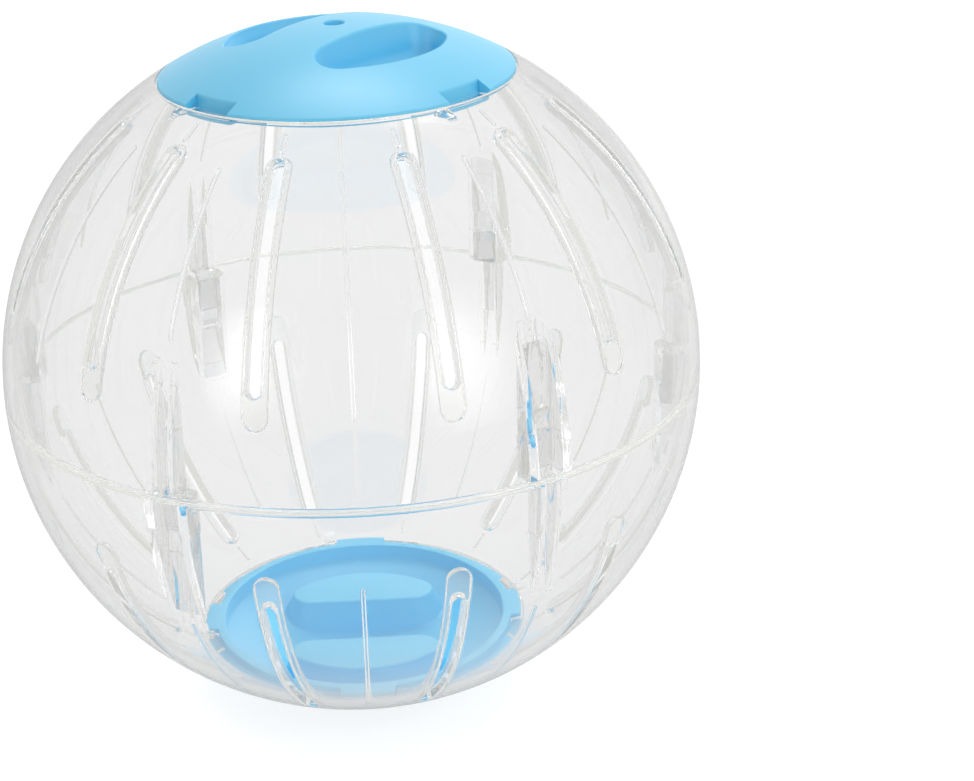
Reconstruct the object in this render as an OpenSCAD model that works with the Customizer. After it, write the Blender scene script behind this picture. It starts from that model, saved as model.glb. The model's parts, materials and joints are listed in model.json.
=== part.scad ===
// Clear exercise ball for a hamster: two clear halves that snap together at the seam, and a blue cap
// that turns into each pole.
// Millimetres. The origin is the centre of the ball, +Z runs along the axis through both caps, and -Y is
// the front. Each half is drawn as the upper one and the lower half is turned over about the Y axis.

/* [Ball] */
// Outside diameter of the closed ball
ball_d = 120; // [110:1:140]
// Wall of the clear halves
shell_wall = 1.5; // [1.2:0.1:1.8]
// Height of the bead that stiffens the rim of each half
bead_h = 0.6; // [0.4:0.1:2]
// How far the bead stands in from the wall
bead_t = 0.4; // [0.2:0.1:1]
// Chamfer on the outer edge of each rim
rim_chamfer = 0.3; // [0.1:0.05:0.5]
// Gap between the rims of the closed halves
rim_gap = 0.1; // [0.05:0.05:0.3]

/* [Air slots] */
// Slots around each half
slot_count = 12; // [6:6:12]
// Width of a slot
slot_w = 2.2; // [1.6:0.1:3]
// From the seam to the low end of a slot, along the wall
slot_low_arc = 17.8; // [16:0.2:22]
// From the edge of the cap seat to the top end of a slot, along the wall
slot_top_arc = 7.4; // [6:0.1:10]
// Width of the collar that stands inside each slot, on each side of it
collar_rim = 0.8; // [0.6:0.1:1.2]
// Height of the collar
collar_h = 1; // [0.6:0.1:1.4]
// Length of the collar's solid tail below the slot
collar_tail = 5; // [2:0.2:7]
// Width of the fine ribs between the slots
rib_w = 0.5; // [0.4:0.1:1]
// Height of the fine ribs
rib_h = 0.4; // [0.3:0.1:0.8]
// From the seam to the low end of a fine rib, along the wall
rib_low_arc = 14.7; // [10:0.1:18]
// From the edge of the cap seat to the top end of a fine rib, along the wall
rib_top_arc = 9.6; // [7:0.1:12]

/* [Cap] */
// Radius of the blue cap's edge
cap_r = 29.6; // [28:0.1:30.5]
// Wall of the cap
cap_wall = 1.6; // [1.2:0.1:2]
// Width of the flange that rests on the clear half
flange_w = 2.4; // [2:0.1:2.8]
// Thickness of the flange at its edge
flange_t = 0.8; // [0.6:0.1:1]
// Gap between the cap and the clear half, all round
cap_gap = 0.3; // [0.2:0.05:0.4]
// Gap between the flange and the ledge that it rests on
seat_gap = 0.1; // [0.05:0.05:0.2]
// Thickness of the clear ledge between the flange and the lugs
ledge_t = 0.7; // [0.6:0.1:0.9]
// Gap between the ledge and the lugs
lug_gap = 0.1; // [0.1:0.05:0.2]
// Lugs around the cap
lug_count = 4; // [3:1:4]
// Width of a lug
lug_w = 9.4; // [7:0.2:10]
// How far a lug reaches out from the skirt
lug_out = 1.8; // [1.4:0.1:2.2]
// Thickness of a lug
lug_t = 0.8; // [0.7:0.1:1.2]
// Width of each entry notch in the ledge
notch_w = 22; // [18:0.5:24]
// Width of the stop that a locked lug rests against
stop_w = 2; // [1.4:0.1:3]

/* [Grip] */
// Width of the grip bar between the two finger pockets
bar_w = 13.2; // [11:0.2:16]
// Radius of the pockets' outer wall about the pole
pocket_r = 18.2; // [16:0.1:20]
// Corner radius of the pockets
pocket_corner = 4; // [3:0.1:4.6]
// Depth of the pocket floor below the pole
pocket_depth = 6.9; // [5:0.1:7.5]
// Wall around the pockets
pocket_wall = 1.4; // [1:0.1:1.8]
// Diameter of the hole through each pole, for a stand's pin
pole_hole_d = 3.4; // [2.5:0.1:5]

/* [Snaps] */
// Snap tongues on each half
snap_count = 3; // [3:1:3]
// How far a snap socket stands in from the wall at the seam
snap_depth = 5.2; // [4.8:0.1:6]
// Width of a tongue
tongue_w = 3.8; // [3:0.1:4.4]
// Thickness of a tongue
tongue_t = 1.4; // [1:0.1:1.6]
// How far a tongue reaches past the seam
tongue_reach = 10.3; // [9.5:0.1:12]
// How far its nose stands out
nose_out = 0.8; // [0.6:0.1:1]
// Thickness of the two bars that carry a tongue
bar_t = 1; // [0.8:0.1:1.2]
// Clearance around a tongue in its socket
snap_gap = 0.3; // [0.2:0.05:0.4]
// Side walls of a socket
socket_wall = 1.5; // [1.2:0.1:1.8]
// Inner wall of a socket, which the nose hooks over
hook_wall = 1.2; // [1:0.1:1.4]
// Height of the socket's thick mouth above the seam
mouth_h = 6.5; // [5.5:0.1:7]
// How far the mouth stands out from the socket's sides
mouth_rim = 0.2; // [0.1:0.1:0.4]
// Rounding of the socket's inner corners
socket_corner = 2.6; // [1.5:0.1:3]

/* [Hidden] */
$fn = 96;
over = 1;

clear_colour = [0.90, 0.94, 0.93, 0.35];
blue_colour = [0.55, 0.82, 0.95];

quarter_turn = 90;
half_turn = 180;
full_turn = 360;

ball_r = ball_d / 2;
wall_r = ball_r - shell_wall;
mid_r = ball_r - shell_wall / 2;
rim_z = rim_gap / 2;

// Height of a sphere of radius r over a point at radius x from the axis
function sphere_z(r, x) = sqrt(r * r - x * x);
// Angle that an arc along the outside of the ball spans
function arc_deg(arc) = arc / ball_r * half_turn / PI;

// Cap and its seat, from the outside inwards
skirt_r = cap_r - flange_w;
skirt_in_r = skirt_r - cap_wall;
opening_r = skirt_r + cap_gap;
seat_r = cap_r + cap_gap;
lug_r = skirt_r + lug_out;
groove_r = lug_r + cap_gap;
flange_z = sphere_z(ball_r, cap_r) - flange_t;
seat_z = flange_z - seat_gap;
ledge_z = seat_z - ledge_t;
lug_top_z = ledge_z - lug_gap;
lug_low_z = lug_top_z - lug_t;
pocket_z = ball_r - pocket_depth;
pocket_under_z = pocket_z - cap_wall;
lug_pitch = full_turn / lug_count;

// Locked direction of the lugs. The photographed caps stand an eighth of a turn apart, and the bar of
// each one lies in line with two of its lugs.
top_turn = 45;
bottom_turn = 0;

// Latitudes of the slots, their collars and the fine ribs
seat_lat = acos(seat_r / ball_r);
slot_low_lat = arc_deg(slot_low_arc);
slot_top_lat = seat_lat - arc_deg(slot_top_arc);
collar_low_lat = slot_low_lat - arc_deg(collar_tail);
collar_top_lat = slot_top_lat + arc_deg(collar_rim);
collar_w = slot_w + collar_rim * 2;
rib_low_lat = arc_deg(rib_low_arc);
rib_top_lat = seat_lat - arc_deg(rib_top_arc);
stem_top_lat = acos((groove_r + cap_gap) / (wall_r - rib_h));
slot_pitch = full_turn / slot_count;

// Snaps: tongues and sockets take turns around the seam. Angles run from +X.
snap_pitch = full_turn / snap_count;
tongue_turn = -120;
socket_turn = tongue_turn + snap_pitch / 2;
socket_r = wall_r - snap_depth;
cavity_r = socket_r + hook_wall;
tongue_r = cavity_r + snap_gap;
tongue_out_r = tongue_r + tongue_t;
cavity_w = tongue_w + snap_gap * 2;
socket_w = cavity_w + socket_wall * 2;
socket_z = rim_z + snap_gap;
leaf_top_lat = acos(socket_r / wall_r);
nose_low_z = mouth_h + snap_gap;
nose_flat = tongue_t / 2;
nose_z = nose_low_z + nose_flat;

// Repeats its children around the axis
module around(count, turn) {
    for (i = [0 : count - 1]) rotate([0, 0, turn + i * full_turn / count]) children();
}

// Bar with parallel sides and round ends that lies along a meridian and crosses the wall
module meridian_bar(w, low_lat, top_lat) {
    end_deg = arc_deg(w / 2);
    low = low_lat + end_deg;
    top = top_lat - end_deg;
    start = wall_r - collar_h - over;
    reach = (ball_r + over) / cos((top - low) / 2);
    rotate([quarter_turn, 0, 0])
        linear_extrude(w, center = true)
            polygon([
                [start * cos(low), start * sin(low)], [reach * cos(low), reach * sin(low)],
                [reach * cos(top), reach * sin(top)], [start * cos(top), start * sin(top)],
            ]);
    for (lat = [low, top])
        rotate([0, quarter_turn - lat, 0])
            translate([0, 0, start]) cylinder(d = w, h = ball_r + over - start);
}

// Everything its children hold between the inside of the wall and a height above it
module on_wall(height) {
    intersection() {
        children();
        difference() {
            sphere(mid_r);
            sphere(wall_r - height);
        }
    }
}

// Section of a half through the axis: the wall, the bead inside its rim, the chamfer outside it, and the
// opening for a cap, with a rebate for the flange over a ledge that the lugs turn in under
module half_section() {
    difference() {
        union() {
            difference() {
                circle(ball_r);
                circle(wall_r);
            }
            translate([wall_r - bead_t, 0]) square([shell_wall / 2 + bead_t, bead_h]);
            intersection() {
                circle(mid_r);
                translate([0, ledge_z]) square(ball_r);
            }
        }
        translate([-ball_d, -ball_r]) square([ball_d, ball_d]);
        translate([-over, rim_z - ball_d]) square(ball_d);
        polygon([
            [ball_r - rim_chamfer, rim_z], [ball_r, rim_z + rim_chamfer],
            [ball_r + over, rim_z + rim_chamfer], [ball_r + over, rim_z - over],
            [ball_r - rim_chamfer, rim_z - over],
        ]);
        translate([-over, 0]) square([opening_r + over, ball_d]);
        translate([0, seat_z]) square([seat_r, ball_r]);
        square([groove_r, ledge_z]);
    }
}

// Notches through the ledge that let the lugs in, halfway between the locked lugs
module entry_notches(turn) {
    intersection() {
        translate([0, 0, ledge_z - over]) cylinder(r = groove_r, h = ball_r);
        around(lug_count, turn + lug_pitch / 2)
            translate([opening_r - over, -notch_w / 2, 0]) cube([ball_r, notch_w, ball_r]);
    }
}

// Stops under the ledge, one beside each locked lug
module cap_stops(turn) {
    around(lug_count, turn)
        translate([opening_r, -lug_w / 2 - cap_gap - stop_w, lug_low_z])
            cube([groove_r - opening_r + over * 2, stop_w, ledge_z + ledge_t / 2 - lug_low_z]);
}

// Plan of a socket column: x is the distance from the axis, and the inner corners are round
module socket_plan(r, w) {
    translate([r + socket_corner, -w / 2]) square([ball_r, w]);
    translate([r, socket_corner - w / 2]) square([ball_r, w - socket_corner * 2]);
    for (side = [-1, 1])
        translate([r + socket_corner, side * (w / 2 - socket_corner)]) circle(socket_corner);
}

// Socket for a tongue of the other half: a hollow column with a thick mouth, and a window in its inner
// wall for the nose
module snap_socket() {
    difference() {
        union() {
            translate([0, 0, socket_z]) linear_extrude(ball_r) socket_plan(socket_r, socket_w);
            translate([0, 0, socket_z])
                linear_extrude(mouth_h - socket_z) socket_plan(socket_r, socket_w + mouth_rim * 2);
        }
        translate([cavity_r, -cavity_w / 2, 0]) cube([ball_r, cavity_w, ball_r]);
        translate([socket_r - over, -cavity_w / 2, mouth_h])
            cube([hook_wall + over * 2, cavity_w, tongue_reach + snap_gap - mouth_h]);
    }
}

// Two bars that carry a tongue, cut back where the tongue lies on them
module tongue_bars() {
    difference() {
        for (side = [-1, 1])
            translate([tongue_r, side * (tongue_w - bar_t) / 2 - bar_t / 2, socket_z])
                cube([ball_r, bar_t, ball_r]);
        translate([0, -ball_r, 0]) cube([tongue_out_r, ball_d, tongue_reach]);
    }
}

// Tongue that reaches past the seam into the other half, with the nose at its end facing inwards
module snap_tongue() {
    translate([tongue_r, -tongue_w / 2, -tongue_reach]) cube([tongue_t, tongue_w, tongue_reach * 2]);
    rotate([quarter_turn, 0, 0])
        linear_extrude(tongue_w, center = true)
            polygon([
                [tongue_r - nose_out, -nose_low_z], [tongue_out_r, -nose_low_z],
                [tongue_out_r, -tongue_reach], [tongue_r, -tongue_reach], [tongue_r - nose_out, -nose_z],
            ]);
}

// One clear half, drawn as the upper one
module half_shell(turn) {
    difference() {
        union() {
            rotate_extrude() half_section();
            on_wall(collar_h)
                around(slot_count, slot_pitch / 2) meridian_bar(collar_w, collar_low_lat, collar_top_lat);
            on_wall(rib_h) {
                around(slot_count, slot_pitch / 2) meridian_bar(rib_w, slot_top_lat, stem_top_lat);
                around(slot_count / 2, 0) meridian_bar(rib_w, leaf_top_lat, rib_top_lat);
                around(slot_count / 2, slot_pitch) meridian_bar(rib_w, rib_low_lat, rib_top_lat);
            }
            intersection() {
                sphere(mid_r);
                union() {
                    around(snap_count, socket_turn) snap_socket();
                    around(snap_count, tongue_turn) tongue_bars();
                    cap_stops(turn);
                }
            }
        }
        around(slot_count, slot_pitch / 2) meridian_bar(slot_w, slot_low_lat, slot_top_lat);
        entry_notches(turn);
    }
}

// Outline of one finger pocket, grown outwards by a wall: a flat side along the bar, an arc about the
// pole and round corners between them
module pocket_outline(grow) {
    flat_y = bar_w / 2 - grow;
    corner = pocket_corner + grow;
    corner_y = bar_w / 2 + pocket_corner;
    corner_x = sqrt(pow(pocket_r - pocket_corner, 2) - corner_y * corner_y);
    for (side = [-1, 1]) translate([side * corner_x, corner_y]) circle(corner);
    translate([-corner_x, flat_y]) square([corner_x * 2, corner_y - flat_y]);
    intersection() {
        circle(pocket_r + grow);
        polygon([
            [0, 0], [corner_x * 2, corner_y * 2], [0, pocket_r * 2], [-corner_x * 2, corner_y * 2],
        ]);
        translate([-pocket_r * 2, flat_y]) square([pocket_r * 4, pocket_r * 2]);
    }
}

// One cap, drawn as the top one with its bar along X
module cap() {
    difference() {
        intersection() {
            sphere(ball_r);
            union() {
                difference() {
                    translate([0, 0, flange_z]) cylinder(r = cap_r, h = ball_r);
                    intersection() {
                        sphere(ball_r - cap_wall);
                        cylinder(r = skirt_in_r, h = ball_r);
                    }
                }
                translate([0, 0, pocket_under_z])
                    linear_extrude(ball_r)
                        for (side = [0, 1]) rotate([0, 0, side * half_turn]) pocket_outline(pocket_wall);
                translate([0, 0, lug_low_z])
                    difference() {
                        cylinder(r = skirt_r, h = flange_z - lug_low_z);
                        translate([0, 0, -over])
                            cylinder(r = skirt_in_r, h = flange_z - lug_low_z + over * 2);
                    }
            }
        }
        translate([0, 0, pocket_z])
            linear_extrude(ball_r)
                for (side = [0, 1]) rotate([0, 0, side * half_turn]) pocket_outline(0);
        cylinder(d = pole_hole_d, h = ball_d);
        around(lug_count, 0) lug_window();
    }
    around(lug_count, 0) lug();
}

// Window in the flange over a lug
module lug_window() {
    difference() {
        translate([0, -lug_w / 2, flange_z - over]) cube([ball_r, lug_w, ball_r]);
        cylinder(r = skirt_r, h = ball_d);
    }
}

// Lug at the foot of the skirt
module lug() {
    intersection() {
        translate([skirt_in_r + cap_wall / 2, -lug_w / 2, lug_low_z]) cube([lug_r, lug_w, lug_t]);
        cylinder(r = lug_r, h = ball_d);
    }
}

module upper_shell() {
    color(clear_colour) half_shell(top_turn);
}

module lower_shell() {
    color(clear_colour) rotate([0, half_turn, 0]) half_shell(bottom_turn);
}

module upper_tongues() {
    color(clear_colour) around(snap_count, tongue_turn) snap_tongue();
}

module lower_tongues() {
    color(clear_colour) rotate([0, half_turn, 0]) around(snap_count, tongue_turn) snap_tongue();
}

module top_cap() {
    color(blue_colour) rotate([0, 0, top_turn]) cap();
}

module bottom_cap() {
    color(blue_colour) rotate([0, half_turn, 0]) rotate([0, 0, bottom_turn]) cap();
}

lower_shell();
upper_shell();
bottom_cap();
top_cap();
lower_tongues();
upper_tongues();
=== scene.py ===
import json
import math

import bmesh
import bpy
import numpy as np
from mathutils import Matrix, Vector, geometry

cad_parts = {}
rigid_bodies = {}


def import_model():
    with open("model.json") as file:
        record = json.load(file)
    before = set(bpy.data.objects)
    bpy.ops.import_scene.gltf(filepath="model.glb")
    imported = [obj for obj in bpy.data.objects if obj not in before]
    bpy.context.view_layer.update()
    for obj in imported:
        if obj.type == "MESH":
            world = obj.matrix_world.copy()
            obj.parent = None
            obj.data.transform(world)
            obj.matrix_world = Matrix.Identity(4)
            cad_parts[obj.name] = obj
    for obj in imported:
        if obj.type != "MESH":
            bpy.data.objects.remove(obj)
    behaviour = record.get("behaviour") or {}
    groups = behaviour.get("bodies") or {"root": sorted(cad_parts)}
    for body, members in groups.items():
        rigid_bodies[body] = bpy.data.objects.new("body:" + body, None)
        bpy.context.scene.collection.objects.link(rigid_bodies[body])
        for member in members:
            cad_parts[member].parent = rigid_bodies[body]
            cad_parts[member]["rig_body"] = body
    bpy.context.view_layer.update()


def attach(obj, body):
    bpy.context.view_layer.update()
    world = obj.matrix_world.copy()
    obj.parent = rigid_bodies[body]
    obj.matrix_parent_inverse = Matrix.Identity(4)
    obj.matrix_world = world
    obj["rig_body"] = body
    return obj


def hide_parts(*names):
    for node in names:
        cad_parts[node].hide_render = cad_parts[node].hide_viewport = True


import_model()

# Clear halves. Two like mouldings of crystal polystyrene from a polished tool, one turned over.
# Each is one piece with its air slots, the collars and ribs inside the wall, the ledge that a cap
# locks under, and three snap tongues and three sockets for those of the other half.
MM = 0.001
ball_r, wall_r = 60.0, 58.5
sectors, azimuth_steps = 6, 240
sector_start = -7.5
skin_low, skin_top, skin_row = 2.6, 58.6, 1.75
outer_clearance, inner_clearance = 0.7, 0.6

slot_azimuths = (15.0, 45.0)
slot_w, slot_edge = 2.2, 0.3
slot_low, slot_top = 17.0, 53.04
collar_r, collar_rim, collar_tail = 57.5, 0.8, 5.0
collar_edge, collar_foot = 0.2, 0.3
flat_shares = (0.33, 0.67)
flat_start, flat_span = 0.3, 0.4

rib_w, rib_h = 0.5, 0.4
rib_foot = 0.25
rib_crown = ((1.0, 0.5), (0.8, 0.85), (0.45, 1.0), (0.0, 1.0))
rib_azimuth, rib_low, rib_top = 30.0, 14.04, 50.94
leaf_azimuth, leaf_top = 0.0, 24.35
stem_low, stem_top = 54.9, 57.9

seat_r, opening_r, groove_r = 29.9, 27.5, 29.3
seat_z, ledge_z = 51.29, 50.59
notch_w, lug_pitch = 22.0, 90.0
lip_row, lip_edge = 59.4, 0.25
seat_foot, seat_edge = 0.12, 0.2
ledge_edge, notch_edge = 0.2, 0.03
seam_z = 0.05
rim_chamfer, chamfer_edge = 0.3, 0.08
bead_r, bead_z = 58.1, 0.6
bead_edge, bead_corner = 0.15, 0.18
gap_r, gap_side = 29.6, 0.1
rim_weld = 0.01


def turned(azimuth, latitude):
    """Unit vectors of directions given in degrees, latitude counted from the seam."""
    a, b = np.radians(azimuth), np.radians(latitude)
    return np.stack([np.cos(a) * np.cos(b), np.sin(a) * np.cos(b), np.sin(b) + 0 * a], -1)


def track(azimuth, low, top, offset, radius, side_steps=16, end_steps=10):
    """Closed row of points on a sphere at an offset from a stretch of meridian, with round ends."""
    share = np.arange(side_steps + 1) / side_steps
    bend = np.pi * np.arange(1, end_steps) / end_steps
    up, down = low + share * (top - low), top - share * (top - low)
    across = np.r_[np.ones(len(up)), np.cos(bend), -np.ones(len(up)), -np.cos(bend)]
    along = np.r_[0 * up, np.sin(bend), 0 * up, -np.sin(bend)]
    lat = np.r_[up, top + 0 * bend, down, low + 0 * bend]
    lean = math.asin(offset / radius)
    east = turned(azimuth + 90, 0)
    north = turned(azimuth, lat + 90)
    aside = across[:, None] * east + along[:, None] * north
    return radius * (math.cos(lean) * turned(azimuth, lat) + math.sin(lean) * aside)


def quarter(a0, b0, a1, b1, steps=3):
    """Points of a quarter ellipse from (a0, b0), leaving along a, to (a1, b1), arriving along b."""
    t = np.pi / 2 * np.arange(steps + 1) / steps
    return [(a0 + (a1 - a0) * math.sin(x), b0 + (b1 - b0) * (1 - math.cos(x))) for x in t]


def rows_to_mesh(rows, closed=True):
    """Points and faces of the skin between rows of points."""
    rows = np.array(rows)
    count, length = rows.shape[:2]
    faces = []
    for i in range(count - 1):
        for j in range(length if closed else length - 1):
            a, b = i * length + j, i * length + (j + 1) % length
            faces.append((a, b, b + length, a + length))
    return rows.reshape(-1, 3), faces


def inside(points, loop):
    """Which points of the plane lie inside a closed loop."""
    x, y = points[:, :1], points[:, 1:2]
    x0, y0 = loop[:, 0], loop[:, 1]
    x1, y1 = np.roll(x0, -1), np.roll(y0, -1)
    with np.errstate(divide="ignore", invalid="ignore"):
        crossed = ((y0 > y) != (y1 > y)) & (x < x0 + (y - y0) * (x1 - x0) / (y1 - y0))
    return crossed.sum(1) % 2 == 1


def near(points, loop, clearance):
    """Which points of space lie nearer to a closed loop than a clearance."""
    start, step = loop, np.roll(loop, -1, 0) - loop
    to = points[:, None] - start
    share = np.clip((to * step).sum(2) / (step * step).sum(1), 0, 1)
    return (np.linalg.norm(to - share[..., None] * step, axis=2) < clearance).any(1)


def skin(lift, border, holes, grid, clearance):
    """Triangles over a border with holes and a grid of points inside it, drawn flat and lifted."""
    loops = [border, *holes]
    keep = inside(grid, border)
    for loop in loops:
        keep &= ~near(lift(grid), lift(loop), clearance)
    for hole in holes:
        keep &= ~inside(grid, hole)
    points, edges = np.vstack([*loops, grid[keep]]), []
    first = 0
    for loop in loops:
        edges += [(first + i, first + (i + 1) % len(loop)) for i in range(len(loop))]
        first += len(loop)
    flat, _, faces, *_ = geometry.delaunay_2d_cdt([Vector(p) for p in points], edges, [], 1, 1e-7)
    flat = np.array(flat)
    middles = np.array([flat[list(f)].mean(0) for f in faces])
    drop = np.zeros(len(faces), bool)
    for hole in holes:
        drop |= inside(middles, hole)
    return lift(flat), [tuple(f) for f, d in zip(faces, drop) if not d]


def facing(part, way):
    """A part of the wall whose first face is made to look out of the ball (1) or into it (-1)."""
    points, faces = part
    corners = points[list(faces[0])[:3]]
    normal = np.cross(corners[1] - corners[0], corners[2] - corners[0])
    return part if normal @ corners[0] * way > 0 else (points, [f[::-1] for f in faces])


def mesh_of(name, parts, closed=True, weld=0.004):
    """One mesh of parts in millimetres, with touching points welded and closed skins turned out."""
    mesh = bpy.data.meshes.new(name)
    points, faces, first = [], [], 0
    for part_points, part_faces in parts:
        points.append(part_points)
        faces += [tuple(first + i for i in f) for f in part_faces]
        first += len(part_points)
    mesh.from_pydata((np.vstack(points) * MM).tolist(), [], faces)
    bm = bmesh.new()
    bm.from_mesh(mesh)
    bmesh.ops.remove_doubles(bm, verts=bm.verts, dist=weld * MM)
    if closed:
        bmesh.ops.recalc_face_normals(bm, faces=bm.faces)
    bm.to_mesh(mesh)
    bm.free()
    return mesh


def on_sphere(radius):
    return lambda flat: radius * turned(flat[:, 0], flat[:, 1])


def flat_of(points):
    """Azimuth and latitude of points in space, in degrees."""
    p = points / np.linalg.norm(points, axis=1, keepdims=True)
    return np.degrees(np.stack([np.arctan2(p[:, 1], p[:, 0]), np.arcsin(p[:, 2])], -1))


def slot_rows(azimuth):
    """Rows around one air slot, from the outside of the wall over the collar to the inside."""
    half = slot_w / 2
    low, top = slot_low + math.degrees(half / ball_r), slot_top - math.degrees(half / ball_r)
    outer = half + collar_rim
    tail = collar_tail - collar_rim
    section = [(d, r, 0) for d, r in quarter(half + slot_edge, ball_r, half, ball_r - slot_edge)]
    brim = quarter(collar_r + collar_edge, half, collar_r, half + collar_edge)
    section += [(d, r, 0) for r, d in brim]
    for share in flat_shares:
        d = half + collar_rim * (flat_start + flat_span * share)
        section.append((d, collar_r, tail * share))
    brim = quarter(outer - collar_edge, collar_r, outer, collar_r + collar_edge)
    section += [(d, r, tail) for d, r in brim]
    foot = quarter(wall_r - collar_foot, outer, wall_r, outer + collar_foot)
    section += [(d, r, tail) for r, d in foot]
    return [track(azimuth, low - math.degrees(s / ball_r), top, d, r) for d, r, s in section]


def rib_rows(azimuth, low, top):
    """Rows over one fine rib, from its foot on the inside of the wall to the line along its crest.
    The crown gives shares of half its width and of its height."""
    half = rib_w / 2
    section = [(half + rib_foot, wall_r), (half + rib_foot / 3, wall_r - rib_h / 8)]
    section += [(half * across, wall_r - rib_h * up) for across, up in rib_crown]
    return [track(azimuth, low, top, d, r, side_steps=14, end_steps=4) for d, r in section]


def sector_parts():
    """The wall of one sector: two skins, the slots between them and the ribs on the inner one."""
    slots = [slot_rows(a) for a in slot_azimuths]
    ribs = [rib_rows(rib_azimuth, rib_low, rib_top), rib_rows(leaf_azimuth, leaf_top, rib_top)]
    ribs += [rib_rows(a, stem_low, stem_top) for a in slot_azimuths]
    columns, rows = azimuth_steps // sectors, round((skin_top - skin_low) / skin_row)
    across = sector_start + 360.0 / sectors * np.arange(columns + 1) / columns
    up = skin_low + (skin_top - skin_low) * np.arange(rows + 1) / rows
    border = np.array(
        [(a, skin_low) for a in across]
        + [(across[-1], b) for b in up[1:-1]]
        + [(a, skin_top) for a in across[::-1]]
        + [(across[0], b) for b in up[-2:0:-1]]
    )
    grid = np.array([(a, b) for b in up[1:-1] for a in across[1:-1]])
    outer = skin(on_sphere(ball_r), border, [flat_of(s[0]) for s in slots], grid, outer_clearance)
    inner_holes = [flat_of(s[-1]) for s in slots] + [flat_of(r[0]) for r in ribs]
    inner = skin(on_sphere(wall_r), border, inner_holes, grid, inner_clearance)
    parts = [facing(outer, 1), facing(inner, -1)] + [facing(rows_to_mesh(r), 1) for r in slots]
    return parts + [facing(rows_to_mesh(r), -1) for r in ribs]


def rounded(corners, steps=2):
    """A section's points from its corners, each a radius, a height and a rounding."""
    points = []
    for i, (r, z, size) in enumerate(corners):
        here = np.array((r, z))
        if not size:
            points.append(here)
            continue
        back, on = (np.array(corners[i + k][:2]) - here for k in (-1, 1))
        back *= size / np.linalg.norm(back)
        on *= size / np.linalg.norm(on)
        for t in np.arange(steps + 1) / steps:
            points.append(here + (1 - t) ** 2 * back + t**2 * on)
    return points


def on_circle(radius, latitude):
    return (radius * math.cos(math.radians(latitude)), radius * math.sin(math.radians(latitude)), 0)


def over_radius(radius, r, rounding=0):
    return (r, math.sqrt(radius**2 - r**2), rounding)


def ring(section, gap=None, gap_w=0.0, turn=0.0):
    """Skin around the axis with one section, and another across four gaps with parallel sides."""
    step = 360.0 / azimuth_steps
    switch = math.degrees(math.asin(gap_w / 2 / gap_r))
    rows = []
    for azimuth in sector_start + step * np.arange(azimuth_steps):
        off = (azimuth - turn + lug_pitch / 2) % lug_pitch - lug_pitch / 2
        beyond = abs(off) - switch
        here = np.array(gap if gap and beyond < 0 else section)[:, :2]
        angles = np.full(len(here), azimuth)
        if gap and abs(beyond) < step:
            side = np.degrees(np.arcsin(gap_w / 2 / here[1:-1, 0]))
            side += math.copysign(gap_side, beyond)
            angles[1:-1] += math.copysign(1.0, off) * (side - abs(off))
        a = np.radians(angles)
        rows.append(np.stack([here[:, 0] * np.cos(a), here[:, 0] * np.sin(a), here[:, 1]], -1))
    return facing(rows_to_mesh(np.array(rows + rows[:1]), closed=False), 1)


def seam_part():
    """The rim at the seam: a chamfer outside, and inside it a bead that stiffens the edge."""
    chamfer_z = seam_z + rim_chamfer
    out = math.degrees(math.asin(chamfer_z / ball_r))
    section = rounded(
        [
            on_circle(ball_r, skin_low),
            on_circle(ball_r, (skin_low + out) / 2),
            (*on_circle(ball_r, out)[:2], chamfer_edge),
            (ball_r - rim_chamfer, seam_z, chamfer_edge),
            (bead_r, seam_z, bead_edge),
            (bead_r, bead_z, bead_corner),
            (math.sqrt(wall_r**2 - bead_z**2), bead_z, bead_edge),
            on_circle(wall_r, skin_low),
        ]
    )
    return ring(section)


def lip_part(turn):
    """The lip around a cap: a seat, and a ledge with notches that let the cap's lugs in."""

    def section(edge_r, edge):
        corners = [on_circle(ball_r, skin_top), on_circle(ball_r, lip_row)]
        corners += [over_radius(ball_r, seat_r, lip_edge), (seat_r, seat_z, seat_foot)]
        corners += [(edge_r, seat_z, seat_edge), (edge_r, ledge_z, edge)]
        corners += [(math.sqrt(wall_r**2 - ledge_z**2), ledge_z, edge), on_circle(wall_r, skin_top)]
        return rounded(corners)

    ledge, notch = section(opening_r, ledge_edge), section(groove_r, notch_edge)
    return ring(ledge, notch, notch_w, turn + lug_pitch / 2)


def prism(outline, low, high, along="z"):
    """Closed solid of an X and Y outline drawn out along Z, or of an X and Z one along Y."""
    count = len(outline)
    ends = [[(x, y, h) if along == "z" else (x, h, y) for x, y in outline] for h in (low, high)]
    faces = [(i, (i + 1) % count, count + (i + 1) % count, count + i) for i in range(count)]
    faces += [tuple(range(count)), tuple(range(count, 2 * count))]
    return np.array(ends).reshape(-1, 3), faces


def box(x, y, z):
    return prism([(x[0], y[0]), (x[1], y[0]), (x[1], y[1]), (x[0], y[1])], *z)


def placed(name, data):
    """An object in the scene that holds a mesh, a lamp or a camera."""
    thing = bpy.data.objects.new(name, data)
    bpy.context.scene.collection.objects.link(thing)
    return thing


def solid_object(name, parts, closed=True):
    """An object made of parts: a piece, or a helper that a piece is made from."""
    return placed(name, mesh_of(name, parts, closed))


def ball_object(radius):
    """A closed ball that ends helpers inside the wall's thickness."""
    mesh = bpy.data.meshes.new("within_wall")
    bm = bmesh.new()
    bmesh.ops.create_icosphere(bm, subdivisions=5, radius=radius * MM)
    bm.to_mesh(mesh)
    bm.free()
    return placed("within_wall", mesh)


def baked(piece):
    """The object's mesh with its modifiers in it."""
    graph = bpy.context.evaluated_depsgraph_get()
    mesh = bpy.data.meshes.new_from_object(piece.evaluated_get(graph))
    piece.modifiers.clear()
    piece.data = mesh
    return piece


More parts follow.
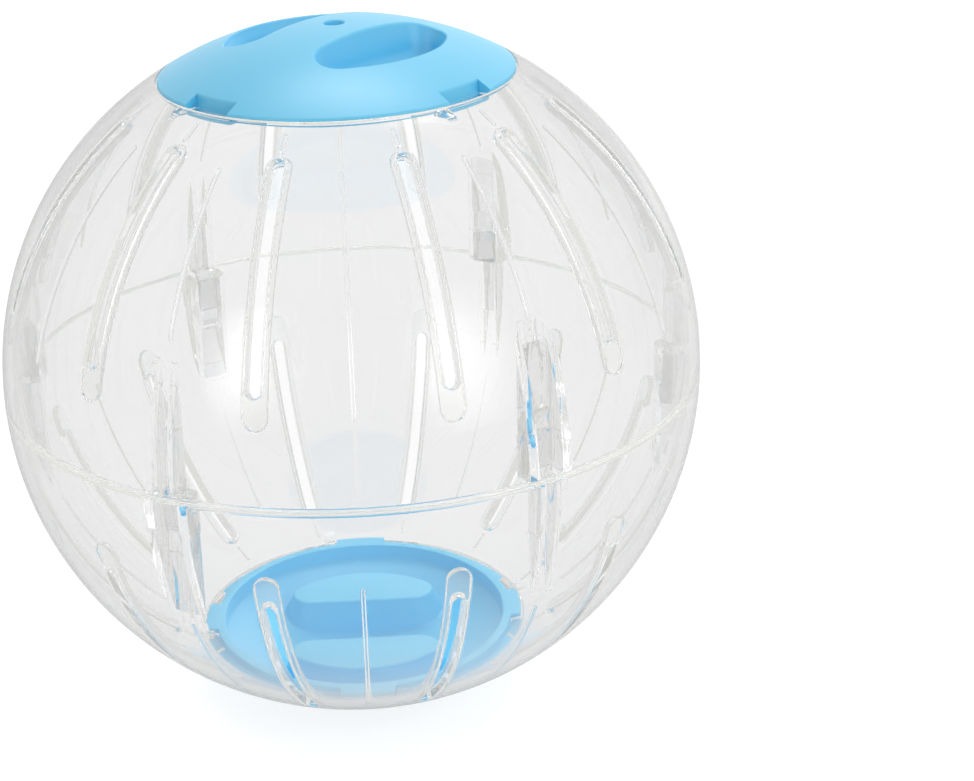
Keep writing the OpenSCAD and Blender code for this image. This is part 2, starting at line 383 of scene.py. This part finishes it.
def shaped(piece, added, removed, within, edge, sharp=40):
    """Adds and removes solids, rounds the sharp edges, and ends the piece inside the wall."""
    steps = [("UNION", o) for o in added] + [("DIFFERENCE", o) for o in removed]
    for operation, other in [*steps, ("INTERSECT", within)]:
        if operation == "INTERSECT":
            bevel = piece.modifiers.new("edges", "BEVEL")
            bevel.width, bevel.segments, bevel.limit_method = edge * MM, 2, "ANGLE"
            bevel.angle_limit = math.radians(sharp)
        modifier = piece.modifiers.new(operation, "BOOLEAN")
        modifier.operation, modifier.solver, modifier.object = operation, "MANIFOLD", other
    return baked(piece)


mid_r, past_wall = 59.25, 61.0
snap_z, column_top = 0.35, 27.0
socket_r, cavity_r = 53.3, 54.5
socket_w, cavity_w = 7.4, 4.4
mouth_w, mouth_h, socket_corner = 7.8, 6.5, 2.6
window_top, window_in, window_out = 10.6, 1.0, 0.1
tongue_r, tongue_out_r = 54.8, 56.2
tongue_w, tongue_reach, bar_t = 3.8, 10.3, 1.0
nose_r, nose_low, nose_z = 54.0, 6.8, 7.5
snap_edge, snap_count = 0.18, 3
socket_turn, tongue_turn = -60.0, -120.0
lug_w, cap_gap, stop_w = 9.4, 0.3, 2.0
stop_low, stop_top, stop_reach = 49.69, ledge_z + 0.35, 2.5


def socket_outline(width):
    """Plan of a socket: a U, open towards the wall, whose outer corners are round."""
    half, bend = width / 2, np.radians(np.linspace(0, 90, 7))
    round_x = socket_r + socket_corner * (1 - np.sin(bend))
    round_y = half - socket_corner * (1 - np.cos(bend))
    plan = [(past_wall, half), *zip(round_x, round_y)]
    plan += [*zip(round_x[::-1], -round_y[::-1]), (past_wall, -half)]
    hollow = cavity_w / 2
    plan += [(past_wall, -hollow), (cavity_r, -hollow), (cavity_r, hollow), (past_wall, hollow)]
    return plan


within_wall = ball_object(mid_r)
window_depth = (socket_r - window_in, cavity_r + window_out)
window = box(window_depth, (-cavity_w / 2, cavity_w / 2), (mouth_h, window_top))
socket = shaped(
    solid_object("socket", [prism(socket_outline(socket_w), snap_z, column_top)]),
    [solid_object("mouth", [prism(socket_outline(mouth_w), snap_z, mouth_h)])],
    [solid_object("window", [window])],
    within_wall,
    snap_edge,
)
tongue_outline = [
    (tongue_r, tongue_reach),
    (tongue_out_r, tongue_reach),
    (tongue_out_r, -tongue_reach),
    (tongue_r, -tongue_reach),
    (nose_r, -nose_z),
    (nose_r, -nose_low),
    (tongue_r, -nose_low),
]
bar_sides = [(tongue_w / 2 - bar_t, tongue_w / 2), (-tongue_w / 2, bar_t - tongue_w / 2)]
bars = [box((tongue_r, past_wall), side, (snap_z, column_top)) for side in bar_sides]
tongue = shaped(
    solid_object("tongue", [prism(tongue_outline, -tongue_w / 2, tongue_w / 2, "y")]),
    [solid_object("bar", [bar]) for bar in bars],
    [],
    within_wall,
    snap_edge,
)
stop_y = -lug_w / 2 - cap_gap
stop_box = box((opening_r, groove_r + stop_reach), (stop_y - stop_w, stop_y), (stop_low, stop_top))
stop = shaped(
    solid_object("stop", [stop_box]),
    [],
    [],
    within_wall,
    snap_edge,
)


def add_node(tree, kind, inputs=None, **settings):
    """One node with its settings. An input is a value, a socket or a list of sockets."""
    node = tree.nodes.new(kind)
    for name, value in settings.items():
        setattr(node, name, value)
    for key, value in (inputs or {}).items():
        for one in value if isinstance(value, list) else [value]:
            if isinstance(one, bpy.types.NodeSocket):
                tree.links.new(one, node.inputs[key])
            else:
                node.inputs[key].default_value = one
    return node


def new_tree(name, inputs):
    """A geometry tree with named inputs, and its input node."""
    tree = bpy.data.node_groups.new(name, "GeometryNodeTree")
    tree.interface.new_socket("Geometry", in_out="OUTPUT", socket_type="NodeSocketGeometry")
    for label, kind in inputs:
        tree.interface.new_socket(label, in_out="INPUT", socket_type=f"NodeSocket{kind}")
    return tree, add_node(tree, "NodeGroupInput").outputs


def around_pole():
    """Tree that repeats a shape around the axis."""
    inputs = [("Geometry", "Geometry"), ("Count", "Int"), ("Turn", "Float")]
    tree, given = new_tree("around_pole", inputs)
    line = add_node(tree, "GeometryNodeMeshLine", {"Count": given["Count"], "Offset": (0, 0, 0)})
    index = add_node(tree, "GeometryNodeInputIndex").outputs[0]
    step = add_node(
        tree, "ShaderNodeMath", {0: math.tau, 1: given["Count"]}, operation="DIVIDE"
    ).outputs[0]
    turn = add_node(
        tree, "ShaderNodeMath", {0: index, 1: step, 2: given["Turn"]}, operation="MULTIPLY_ADD"
    ).outputs[0]
    rotation = add_node(tree, "ShaderNodeCombineXYZ", {"Z": turn}).outputs[0]
    copies = add_node(
        tree,
        "GeometryNodeInstanceOnPoints",
        {"Points": line.outputs[0], "Instance": given["Geometry"], "Rotation": rotation},
    )
    add_node(tree, "NodeGroupOutput", {0: copies.outputs[0]})
    return tree


def half_tree():
    """Tree of a clear half: sectors of wall, the two rims, and what stands inside the wall."""
    inputs = [("Geometry", "Geometry"), ("Rims", "Object"), ("Sectors", "Int"), ("Weld", "Float")]
    inputs += [("Snaps", "Int"), ("Socket", "Object"), ("Socket Turn", "Float")]
    inputs += [("Tongue", "Object"), ("Tongue Turn", "Float"), ("Stop", "Object")]
    inputs += [("Stops", "Int"), ("Stop Turn", "Float"), ("Plastic", "Material")]
    tree, given = new_tree("clear_half", inputs)
    repeat = around_pole()

    def copies(shape, count, turn):
        group = add_node(tree, "GeometryNodeGroup", node_tree=repeat)
        for entry, value in zip(group.inputs, (shape, count, turn)):
            if isinstance(value, bpy.types.NodeSocket):
                tree.links.new(value, entry)
            else:
                entry.default_value = value
        return group.outputs[0]

    def shape_of(label):
        shape = add_node(tree, "GeometryNodeObjectInfo", {"Object": given[label]})
        return shape.outputs["Geometry"]

    walls = copies(given["Geometry"], given["Sectors"], 0.0)
    walls = add_node(tree, "GeometryNodeRealizeInstances", {0: walls}).outputs[0]
    joined = add_node(tree, "GeometryNodeJoinGeometry", {0: [walls, shape_of("Rims")]}).outputs[0]
    welded = add_node(
        tree, "GeometryNodeMergeByDistance", {0: joined, "Distance": given["Weld"]}
    ).outputs[0]
    snaps = [
        copies(shape_of("Socket"), given["Snaps"], given["Socket Turn"]),
        copies(shape_of("Tongue"), given["Snaps"], given["Tongue Turn"]),
        copies(shape_of("Stop"), given["Stops"], given["Stop Turn"]),
    ]
    whole = add_node(
        tree, "GeometryNodeMeshBoolean", {1: [welded, *snaps]}, operation="UNION", solver="MANIFOLD"
    )
    real = add_node(tree, "GeometryNodeRealizeInstances", {0: whole.outputs[0]}).outputs[0]
    painted = add_node(tree, "GeometryNodeSetMaterial", {0: real, "Material": given["Plastic"]})
    add_node(tree, "NodeGroupOutput", {0: painted.outputs[0]})
    return tree


def with_inputs(piece, tree, values):
    """Gives a piece a tree, with its named inputs set by their sockets' identifiers."""
    modifier = piece.modifiers.new(tree.name, "NODES")
    modifier.node_group = tree
    for item in tree.interface.items_tree:
        if item.in_out == "INPUT" and item.name in values:
            modifier[item.identifier] = values[item.name]


def smooth_spheres(mesh, radii, sharp=35, off=0.004, straight=0.9):
    """Smooth faces with sharp edges over an angle, and true sphere normals where a surface is one.
    Off is how far from a sphere it may lie, and straight how squarely it must face."""
    mesh.polygons.foreach_set("use_smooth", np.ones(len(mesh.polygons), bool))
    mesh.set_sharp_from_angle(angle=math.radians(sharp))
    normals = np.zeros(len(mesh.loops) * 3, np.float32)
    mesh.corner_normals.foreach_get("vector", normals)
    normals = normals.reshape(-1, 3)
    corner = np.zeros(len(mesh.loops), np.int32)
    mesh.loops.foreach_get("vertex_index", corner)
    points = np.zeros(len(mesh.vertices) * 3, np.float32)
    mesh.vertices.foreach_get("co", points)
    place = points.reshape(-1, 3)[corner]
    distance = np.linalg.norm(place, axis=1)
    radial = place / distance[:, None]
    outward = (normals * radial).sum(1)
    for radius in radii:
        on = (np.abs(distance - radius * MM) < off * MM) & (np.abs(outward) > straight)
        normals[on] = radial[on] * np.sign(outward[on])[:, None]
    mesh.normals_split_custom_set(normals.tolist())


def clear_half(name, turn, plastic):
    """One clear half, drawn as the upper one, with its lip turned to suit the locked cap."""
    piece = solid_object(name, sector_parts(), closed=False)
    rims = solid_object(name + "_rims", [seam_part(), lip_part(turn)], closed=False)
    values = {
        "Rims": rims,
        "Sectors": sectors,
        "Weld": rim_weld * MM,
        "Snaps": snap_count,
        "Socket": socket,
        "Socket Turn": math.radians(socket_turn),
        "Tongue": tongue,
        "Tongue Turn": math.radians(tongue_turn),
        "Stop": stop,
        "Stops": round(360.0 / lug_pitch),
        "Stop Turn": math.radians(turn),
        "Plastic": plastic,
    }
    with_inputs(piece, clear_tree, values)
    baked(piece)
    bpy.data.objects.remove(rims)
    return piece


clear_tree = half_tree()


def linear(hex_colour):
    """An sRGB hex colour as linear red, green, blue and alpha."""
    shares = [int(hex_colour[i : i + 2], 16) / 255 for i in (1, 3, 5)]
    return (*(c / 12.92 if c <= 0.04045 else ((c + 0.055) / 1.055) ** 2.4 for c in shares), 1.0)


def new_material(name):
    """An empty node material, its tree and its Object coordinates."""
    material = bpy.data.materials.new(name)
    material.use_nodes = True
    material.node_tree.nodes.clear()
    place = add_node(material.node_tree, "ShaderNodeTexCoord").outputs["Object"]
    return material, material.node_tree, place


def crystal_polystyrene():
    """Crystal polystyrene, injection moulded in a polished tool: water clear and glossy, with a
    surface that waves two hundredths of a millimetre where the melt has flowed. Looks along the
    wall, through more plastic, are painted greyer, and there the outer surface is veiled in a grey
    diffuse: painted shade that darkens the ball's outline, the collars and the ribs. Rays that
    stay in the wall past a number of bends end in a painted pale cream glow, which stands in for
    the light the wall pipes to its edges. The rims at the seam and the flat tops of the collars
    are spark eroded in the tool and come out frosted."""
    outer_depth, pad_depth, most_bends = 0.1, 0.06, 8.5
    flow_w, flow_h = 14.0, 0.02
    painted_grey_power, pad_frost, rim_frost = 3.0, 0.22, 0.7
    material, tree, place = new_material("crystal_polystyrene_moulded")
    # Looks along the wall, through more plastic, are painted greyer: painted shade on the ball's
    # outline, the collars and the ribs, weaker off the outer surface.
    along = add_node(tree, "ShaderNodeLayerWeight", {"Blend": 0.5}).outputs["Facing"]
    grazing_grey = add_node(tree, "ShaderNodeMath", {0: along, 1: painted_grey_power}, operation="POWER").outputs[0]
    radius = add_node(tree, "ShaderNodeVectorMath", {0: place}, operation="LENGTH").outputs["Value"]
    outer = add_node(
        tree,
        "ShaderNodeMath",
        {0: radius, 1: (ball_r - outer_depth) * MM},
        operation="GREATER_THAN",
    ).outputs[0]
    share = add_node(
        tree, "ShaderNodeMapRange", {"Value": outer, "To Min": 0.3, "To Max": 1.0}
    ).outputs[0]
    painted_grey = add_node(tree, "ShaderNodeMath", {0: grazing_grey, 1: share}, operation="MULTIPLY").outputs[0]
    tint_and_painted_grey = add_node(
        tree,
        "ShaderNodeMix",
        {"Factor": painted_grey, "A": linear("#f1f1f1"), "B": linear("#9b9b9b")},
        data_type="RGBA",
    ).outputs["Result"]
    flow = add_node(
        tree, "ShaderNodeTexNoise", {"Vector": place, "Scale": 1 / (flow_w * MM), "Detail": 1.0}
    ).outputs[0]
    waves = add_node(
        tree, "ShaderNodeBump", {"Height": flow, "Distance": flow_h * MM, "Strength": 1.0}
    ).outputs[0]
    clear = add_node(
        tree,
        "ShaderNodeBsdfPrincipled",
        {
            "Base Color": tint_and_painted_grey,
            "Roughness": 0.02,
            "IOR": 1.55,
            "Specular IOR Level": 0.42,
            "Transmission Weight": 1.0,
            "Normal": waves,
        },
    )
    pad = add_node(
        tree, "ShaderNodeMath", {0: radius, 1: collar_r * MM}, operation="SUBTRACT"
    ).outputs[0]
    pad = add_node(
        tree, "ShaderNodeMath", {0: pad, 1: 0.0, 2: pad_depth * MM}, operation="COMPARE"
    ).outputs[0]
    height = add_node(tree, "ShaderNodeSeparateXYZ", {0: place}).outputs["Z"]
    rim = add_node(
        tree, "ShaderNodeMath", {0: height, 1: 0.0, 2: 2 * seam_z * MM}, operation="COMPARE"
    ).outputs[0]
    frosted = add_node(
        tree, "ShaderNodeMath", {0: pad, 1: pad_frost}, operation="MULTIPLY"
    ).outputs[0]
    frosted = add_node(
        tree, "ShaderNodeMath", {0: rim, 1: rim_frost, 2: frosted}, operation="MULTIPLY_ADD"
    ).outputs[0]
    frost = add_node(tree, "ShaderNodeBsdfDiffuse", {"Color": linear("#f6f6ef")}).outputs[0]
    clear = add_node(tree, "ShaderNodeMixShader", {0: frosted, 1: clear.outputs[0], 2: frost})
    brink = add_node(
        tree,
        # A grey diffuse veils the outer surface where it is seen along: more painted shade at the
        # ball's outline.
        "ShaderNodeMapRange",
        {"Value": along, "From Min": 0.68, "From Max": 0.92, "To Max": 0.5},
    ).outputs[0]
    painted_shade_share = add_node(tree, "ShaderNodeMath", {0: brink, 1: outer}, operation="MULTIPLY").outputs[0]
    painted_outline_shade = add_node(tree, "ShaderNodeBsdfDiffuse", {"Color": linear("#b4b5b3")}).outputs[0]
    clear = add_node(tree, "ShaderNodeMixShader", {0: painted_shade_share, 1: clear.outputs[0], 2: painted_outline_shade})
    path = add_node(tree, "ShaderNodeLightPath")
    # Rays past most_bends bends end in an emission: a painted pale cream glow at the wall's edges
    # that stands in for light the wall pipes.
    painted_glow_share = add_node(
        tree,
        "ShaderNodeMath",
        {0: path.outputs["Ray Depth"], 1: most_bends},
        operation="GREATER_THAN",
    ).outputs[0]
    painted_edge_glow = add_node(
        tree, "ShaderNodeEmission", {"Color": linear("#f2f2ed"), "Strength": 0.92}
    ).outputs[0]
    clear = add_node(tree, "ShaderNodeMixShader", {0: painted_glow_share, 1: clear.outputs[0], 2: painted_edge_glow})
    open_way = add_node(tree, "ShaderNodeBsdfTransparent").outputs[0]
    for kind in ("Is Shadow Ray", "Is Diffuse Ray"):
        clear = add_node(
            tree, "ShaderNodeMixShader", {0: path.outputs[kind], 1: clear.outputs[0], 2: open_way}
        )
    add_node(tree, "ShaderNodeOutputMaterial", {"Surface": clear.outputs[0]})
    return material


clear_plastic = crystal_polystyrene()
turned_over = Matrix.Diagonal((-1.0, 1.0, -1.0, 1.0))
for body, turn in (("upper_half", lug_pitch / 2), ("lower_half", 0.0)):
    half = clear_half(body + "_clear", turn, clear_plastic)
    if body == "lower_half":
        half.data.transform(turned_over)
    smooth_spheres(half.data, (ball_r, wall_r, collar_r))
    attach(half, body)
    shell = "upper" if body == "upper_half" else "lower"
    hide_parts(shell + "_shell", shell + "_tongues")
for helper in [o for o in bpy.data.objects if o.type == "MESH" and "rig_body" not in o]:
    bpy.data.objects.remove(helper)


# Caps. Two like lids of opaque light blue polypropylene, injection moulded with a satin gloss. One
# drops into the opening, flush with the ball, and an eighth of a turn takes its four lugs under the
# ledge. Two finger pockets leave a grip bar between them, and a small hole goes through the pole.
cap_in_r = 58.4
disc_r = 24.5
grid_r, grid_step, row_shift, row_share = 28.5, 1.25, 0.62, 0.87
disc_clearance = 0.5
cap_r, flange_z = 29.6, 51.39
rim_rows, flange_row = (disc_r, 25.4, 26.4), 28.6
cap_edge, flange_edge = 0.25, 0.2
skirt_edge, skirt_corner, lug_edge = 0.2, 0.6, 0.3
skirt_r, skirt_in_r, skirt_low = 27.2, 25.6, 49.69
skirt_rows, window_rows = (51.0, 50.1, 9), (53.0, 51.0, 7)
lug_r, lug_top = 29.0, 50.49
bar_half = 6.6
pocket_r, pocket_corner = 18.2, 4.0
pocket_edge, pocket_draft = 0.6, 0.9
pocket_floor, pocket_foot = 53.1, 2.0
box_wall, box_floor, box_draft, box_edge = 1.4, 51.5, 1.6, 0.5
pole_hole_r, hole_edge, hole_steps = 1.7, 0.35, 32


def arc(centre, radius, start, end, steps):
    a = np.radians(np.linspace(start, end, steps + 1)[:-1])
    return np.array(centre) + radius * np.stack([np.cos(a), np.sin(a)], -1)


def pocket_outline(grow, flat_steps=16, corner_steps=14, arc_steps=26):
    """Plan of a finger pocket: flat along the bar, an arc about the pole, and round corners."""
    y = bar_half + pocket_corner
    x = math.sqrt((pocket_r - pocket_corner) ** 2 - y**2)
    lean = math.degrees(math.atan2(y, x))
    along_bar = np.linspace(-x, x, flat_steps + 1)[:-1]
    flat = np.stack([along_bar, np.full(flat_steps, bar_half - grow)], -1)
    right = arc((x, y), pocket_corner + grow, -90, lean, corner_steps)
    far = arc((0, 0), pocket_r + grow, lean, 180 - lean, arc_steps)
    left = arc((-x, y), pocket_corner + grow, 180 - lean, 270, corner_steps)
    return np.vstack([flat, right, far, left])


def dome(radius, plan):
    return np.sqrt(radius**2 - (plan**2).sum(1))


def on_dome(radius):
    return lambda plan: np.column_stack([plan, dome(radius, plan)])


def pocket_rows(radius, stations, floor, side):
    """Rows down a pocket. A station gives how far it grows, its drop below the dome, its rise over
    the floor and its share of the way down."""
    rows = []
    for grow, drop, rise, share in stations:
        plan = pocket_outline(grow) * side
        z = (dome(radius, plan) - drop) * (1 - share) + (floor + rise) * share
        rows.append(np.column_stack([plan, z]))
    points, faces = rows_to_mesh(rows)
    last = len(points) - len(rows[0])
    return points, faces + [tuple(range(last, len(points)))]


def pocket_stations(grow, edge, draft, foot):
    """Round edge at the dome, a wall with draft, and a round foot that runs in over the floor."""
    rim = [(grow + g, d, 0, 0) for g, d in quarter(edge, 0, 0, edge)]
    wall = [(grow - draft * t, edge, foot, t) for t in (0.25, 0.5, 0.75)]
    end = [(grow - draft - g, 0, r, 1) for r, g in quarter(foot, 0, 0, foot, 4)]
    return rim + wall + end


def hole_rows():
    """Rows through the pole hole, round at both ends."""
    edge = [(pole_hole_r + g, d) for g, d in quarter(hole_edge, 0, 0, hole_edge)]
    rows = []
    for radius, way, stations in ((ball_r, -1, edge), (cap_in_r, 1, edge[::-1])):
        for r, d in stations:
            plan = arc((0, 0), r, 0, 360, hole_steps)
            rows.append(np.column_stack([plan, dome(radius, plan) + way * d]))
    return rows


def cap_parts():
    """The lid with its bar along X, drawn as the top one."""
    outside = pocket_stations(0, pocket_edge, pocket_draft, pocket_foot)
    under = pocket_stations(box_wall, box_edge, box_draft, box_edge)
    pockets = [pocket_rows(ball_r, outside, pocket_floor, side) for side in (1, -1)]
    boxes = [pocket_rows(cap_in_r, under, box_floor, side) for side in (1, -1)]
    hole = hole_rows()
    angles = sector_start + 360.0 / azimuth_steps * np.arange(azimuth_steps)
    border = disc_r * turned(angles, 0)[:, :2]
    across = np.arange(-disc_r, disc_r, grid_step)
    up = np.arange(-grid_r, grid_r, grid_step)
    grid = [(x + row_shift * (i % 2), y * row_share) for i, y in enumerate(up) for x in across]
    discs = []
    for radius, solids, end in ((ball_r, pockets, 0), (cap_in_r, boxes, -1)):
        loops = [s[0][: len(pocket_outline(0))][:, :2] for s in solids] + [hole[end][:, :2]]
        discs.append(skin(on_dome(radius), border, loops, np.array(grid), disc_clearance))
    return discs + pockets + boxes + [rows_to_mesh(hole), cap_rim()]


def cap_rim():
    """Flange, skirt and lugs, with a window in the flange over each lug."""
    start = [over_radius(ball_r, r) for r in rim_rows]
    inside_end = [(skirt_in_r, skirt_low, skirt_edge)]
    inside_end += [over_radius(cap_in_r, skirt_in_r, skirt_corner), over_radius(cap_in_r, disc_r)]
    along_skirt = [(skirt_r, z, 0) for z in np.linspace(*skirt_rows)]
    plain = rounded(
        start
        + [over_radius(ball_r, flange_row), over_radius(ball_r, cap_r, cap_edge)]
        + [(cap_r, flange_z, flange_edge), (skirt_r, flange_z, flange_edge)]
        + along_skirt
        + [(skirt_r, skirt_low, skirt_edge)]
        + inside_end
    )
    past_flange = [(skirt_r, z, 0) for z in np.linspace(*window_rows)]
    window = rounded(
        start
        + [over_radius(ball_r, skirt_r, cap_edge)]
        + past_flange
        + [(skirt_r, lug_top, lug_edge), (lug_r, lug_top, lug_edge), (lug_r, skirt_low, lug_edge)]
        + [(skirt_r + x, skirt_low, 0) for x in (skirt_edge, 0.0, -skirt_edge)]
        + inside_end
    )
    return ring(plain, window, lug_w)


def blue_polypropylene(name, deep, pale):
    """Light blue polypropylene, injection moulded in a fine-blasted tool: opaque and satin. Some
    light goes into it and softens its shade, and the pigment clouds slightly where the melt has
    flowed. The blasting's grit is drawn half a millimetre wide, about ten times as coarse as it
    is, so that it shows."""
    cloud_w, grit_w, grit_h, light_depth = 22.0, 0.55, 0.01, 1.2
    material, tree, place = new_material(name)
    cloud = add_node(
        tree, "ShaderNodeTexNoise", {"Vector": place, "Scale": 1 / (cloud_w * MM), "Detail": 2.0}
    ).outputs[0]
    colour = add_node(
        tree,
        "ShaderNodeMix",
        {"Factor": cloud, "A": linear(deep), "B": linear(pale)},
        data_type="RGBA",
    ).outputs["Result"]
    grit = add_node(
        tree, "ShaderNodeTexNoise", {"Vector": place, "Scale": 1 / (grit_w * MM), "Detail": 2.0}
    ).outputs[0]
    satin = add_node(
        tree, "ShaderNodeBump", {"Height": grit, "Distance": grit_h * MM, "Strength": 0.4}
    ).outputs[0]
    rubbed = add_node(
        tree, "ShaderNodeMapRange", {"Value": cloud, "To Min": 0.3, "To Max": 0.38}
    ).outputs[0]
    plastic = add_node(
        tree,
        "ShaderNodeBsdfPrincipled",
        {
            "Base Color": colour,
            "Roughness": rubbed,
            "IOR": 1.49,
            "Specular IOR Level": 0.85,
            "Subsurface Weight": 0.12,
            "Subsurface Radius": (0.6, 0.9, 1.0),
            "Subsurface Scale": light_depth * MM,
            "Normal": satin,
        },
    )
    add_node(tree, "ShaderNodeOutputMaterial", {"Surface": plastic.outputs[0]})
    return material


# The bottom cap's blue is painted paler than the top cap's: painted light that stands in for the
# light the inside of the ball lacks.
locked = Matrix.Rotation(math.radians(lug_pitch / 2), 4, "Z")
for body, place, deep, pale in (
    ("top_cap", locked, "#5ec3e9", "#67c8ec"),
    ("bottom_cap", turned_over, "#68cef5", "#72d3f7"),
):
    cap = solid_object(body + "_blue", cap_parts())
    cap.data.transform(place)
    cap.data.materials.append(blue_polypropylene(body + "_polypropylene", deep, pale))
    smooth_spheres(cap.data, (ball_r, cap_in_r))
    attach(cap, body)
    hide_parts(body)


# Studio. A pale floor under soft lamps, as a small product is photographed. The camera sees floor
# and world white, also through the clear plastic, but the floor keeps a soft shadow. From below the
# floor is open, so that the underside can be looked at.
floor_r, floor_steps = 2500.0, 96
under_ball = Matrix.Translation((0, 0, -ball_r * MM))
bm = bmesh.new()
bmesh.ops.create_circle(
    bm, cap_ends=True, segments=floor_steps, radius=floor_r * MM, matrix=under_ball
)
floor_mesh = bpy.data.meshes.new("floor")
bm.to_mesh(floor_mesh)
bm.free()
floor = placed("floor", floor_mesh)


def seen_share(tree):
    """One for rays from the camera, from gloss and through clear plastic, and nought for others."""
    path = add_node(tree, "ShaderNodeLightPath").outputs
    seen = path["Is Camera Ray"]
    for kind in ("Is Glossy Ray", "Is Transmission Ray"):
        seen = add_node(
            tree, "ShaderNodeMath", {0: seen, 1: path[kind]}, operation="MAXIMUM"
        ).outputs[0]
    return seen


paper, tree, _ = new_material("white_sweep_paper")
matt = add_node(tree, "ShaderNodeBsdfDiffuse", {"Color": linear("#e9e9e9")})
low = add_node(tree, "ShaderNodeBsdfDiffuse", {"Color": linear("#7c7c7c")})
glow = add_node(tree, "ShaderNodeEmission", {"Color": linear("#ffffff"), "Strength": 0.87})
white = add_node(tree, "ShaderNodeAddShader", {0: low.outputs[0], 1: glow.outputs[0]})
shown = add_node(
    tree, "ShaderNodeMixShader", {0: seen_share(tree), 1: matt.outputs[0], 2: white.outputs[0]}
)
below = add_node(tree, "ShaderNodeNewGeometry").outputs["Backfacing"]
nothing = add_node(tree, "ShaderNodeBsdfTransparent")
shown = add_node(
    tree, "ShaderNodeMixShader", {0: below, 1: shown.outputs[0], 2: nothing.outputs[0]}
)
add_node(tree, "ShaderNodeOutputMaterial", {"Surface": shown.outputs[0]})
floor_mesh.materials.append(paper)

world = bpy.data.worlds.new("studio")
bpy.context.scene.world = world
world.use_nodes = True
tree = world.node_tree
tree.nodes.clear()
room = add_node(tree, "ShaderNodeBackground", {"Color": linear("#fafafa"), "Strength": 0.62})
backdrop = add_node(tree, "ShaderNodeBackground", {"Color": linear("#ffffff"), "Strength": 1.0})
shown = add_node(
    tree, "ShaderNodeMixShader", {0: seen_share(tree), 1: room.outputs[0], 2: backdrop.outputs[0]}
)
add_node(tree, "ShaderNodeOutputWorld", {"Surface": shown.outputs[0]})


def softbox(name, azimuth, elevation, size, peak, mirrored=True):
    """A square of light that faces the ball from a metre away and fades to its edge. A peak of 1 is
    as bright as the white backdrop. One that isn't mirrored leaves no highlight on the ball."""
    lamp = bpy.data.lights.new(name, "AREA")
    lamp.shape, lamp.size, lamp.size_y = "RECTANGLE", *size
    lamp.energy = math.pi * size[0] * size[1]
    lamp.use_nodes = True
    tree = lamp.node_tree
    tree.nodes.clear()
    spot = add_node(tree, "ShaderNodeNewGeometry").outputs["Parametric"]
    off = add_node(
        tree, "ShaderNodeVectorMath", {0: spot, 1: (0.5, 0.5, 0.0)}, operation="DISTANCE"
    ).outputs["Value"]
    fall = add_node(
        tree,
        "ShaderNodeMapRange",
        {"Value": off, "From Min": 0.5, "From Max": 0.0, "To Min": 0.0, "To Max": peak},
        interpolation_type="SMOOTHSTEP",
    ).outputs[0]
    light = add_node(tree, "ShaderNodeEmission", {"Strength": fall})
    add_node(tree, "ShaderNodeOutputLight", {"Surface": light.outputs[0]})
    holder = placed(name, lamp)
    holder.location = turned(azimuth - 90.0, elevation)
    holder.rotation_euler = (-holder.location).to_track_quat("-Z", "Y").to_euler()
    holder.visible_glossy = holder.visible_transmission = mirrored


softbox("overhead_softbox", 172.0, 66.0, (0.95, 0.55), 5.2)
softbox("left_softbox", -37.5, 18.0, (0.5, 0.85), 1.8)
softbox("right_softbox", 36.0, 16.0, (0.8, 1.1), 1.7)
softbox("right_card", 65.0, 35.0, (0.6, 0.6), 7.0, mirrored=False)
softbox("back_card", 165.0, 28.0, (0.9, 0.6), 10.0, mirrored=False)

# Camera. It looks down on the ball from in front. Its height, distance, lens and roll are fitted to
# the outline, seam, slots and caps as photographed.
camera_data = bpy.data.cameras.new("camera")
camera_data.sensor_width = 36.0
camera_data.lens = 80.3
camera_data.shift_x, camera_data.shift_y = 0.1394, -0.0306
camera_data.clip_start = 0.01
camera = placed("camera", camera_data)
stand, roll = Vector((0.0, -0.3495, 0.1446)), -2.95
aim = (-stand).to_track_quat("-Z", "Y").to_matrix().to_4x4()
camera.matrix_world = Matrix.Translation(stand) @ aim @ Matrix.Rotation(math.radians(roll), 4, "Z")
scene = bpy.context.scene
scene.camera = camera
scene.view_settings.view_transform = "Standard"
scene.cycles.max_bounces = 12
scene.cycles.transmission_bounces = 12
scene.cycles.glossy_bounces = 12
scene.cycles.transparent_max_bounces = 24
scene.cycles.caustics_refractive = False
scene.cycles.caustics_reflective = False
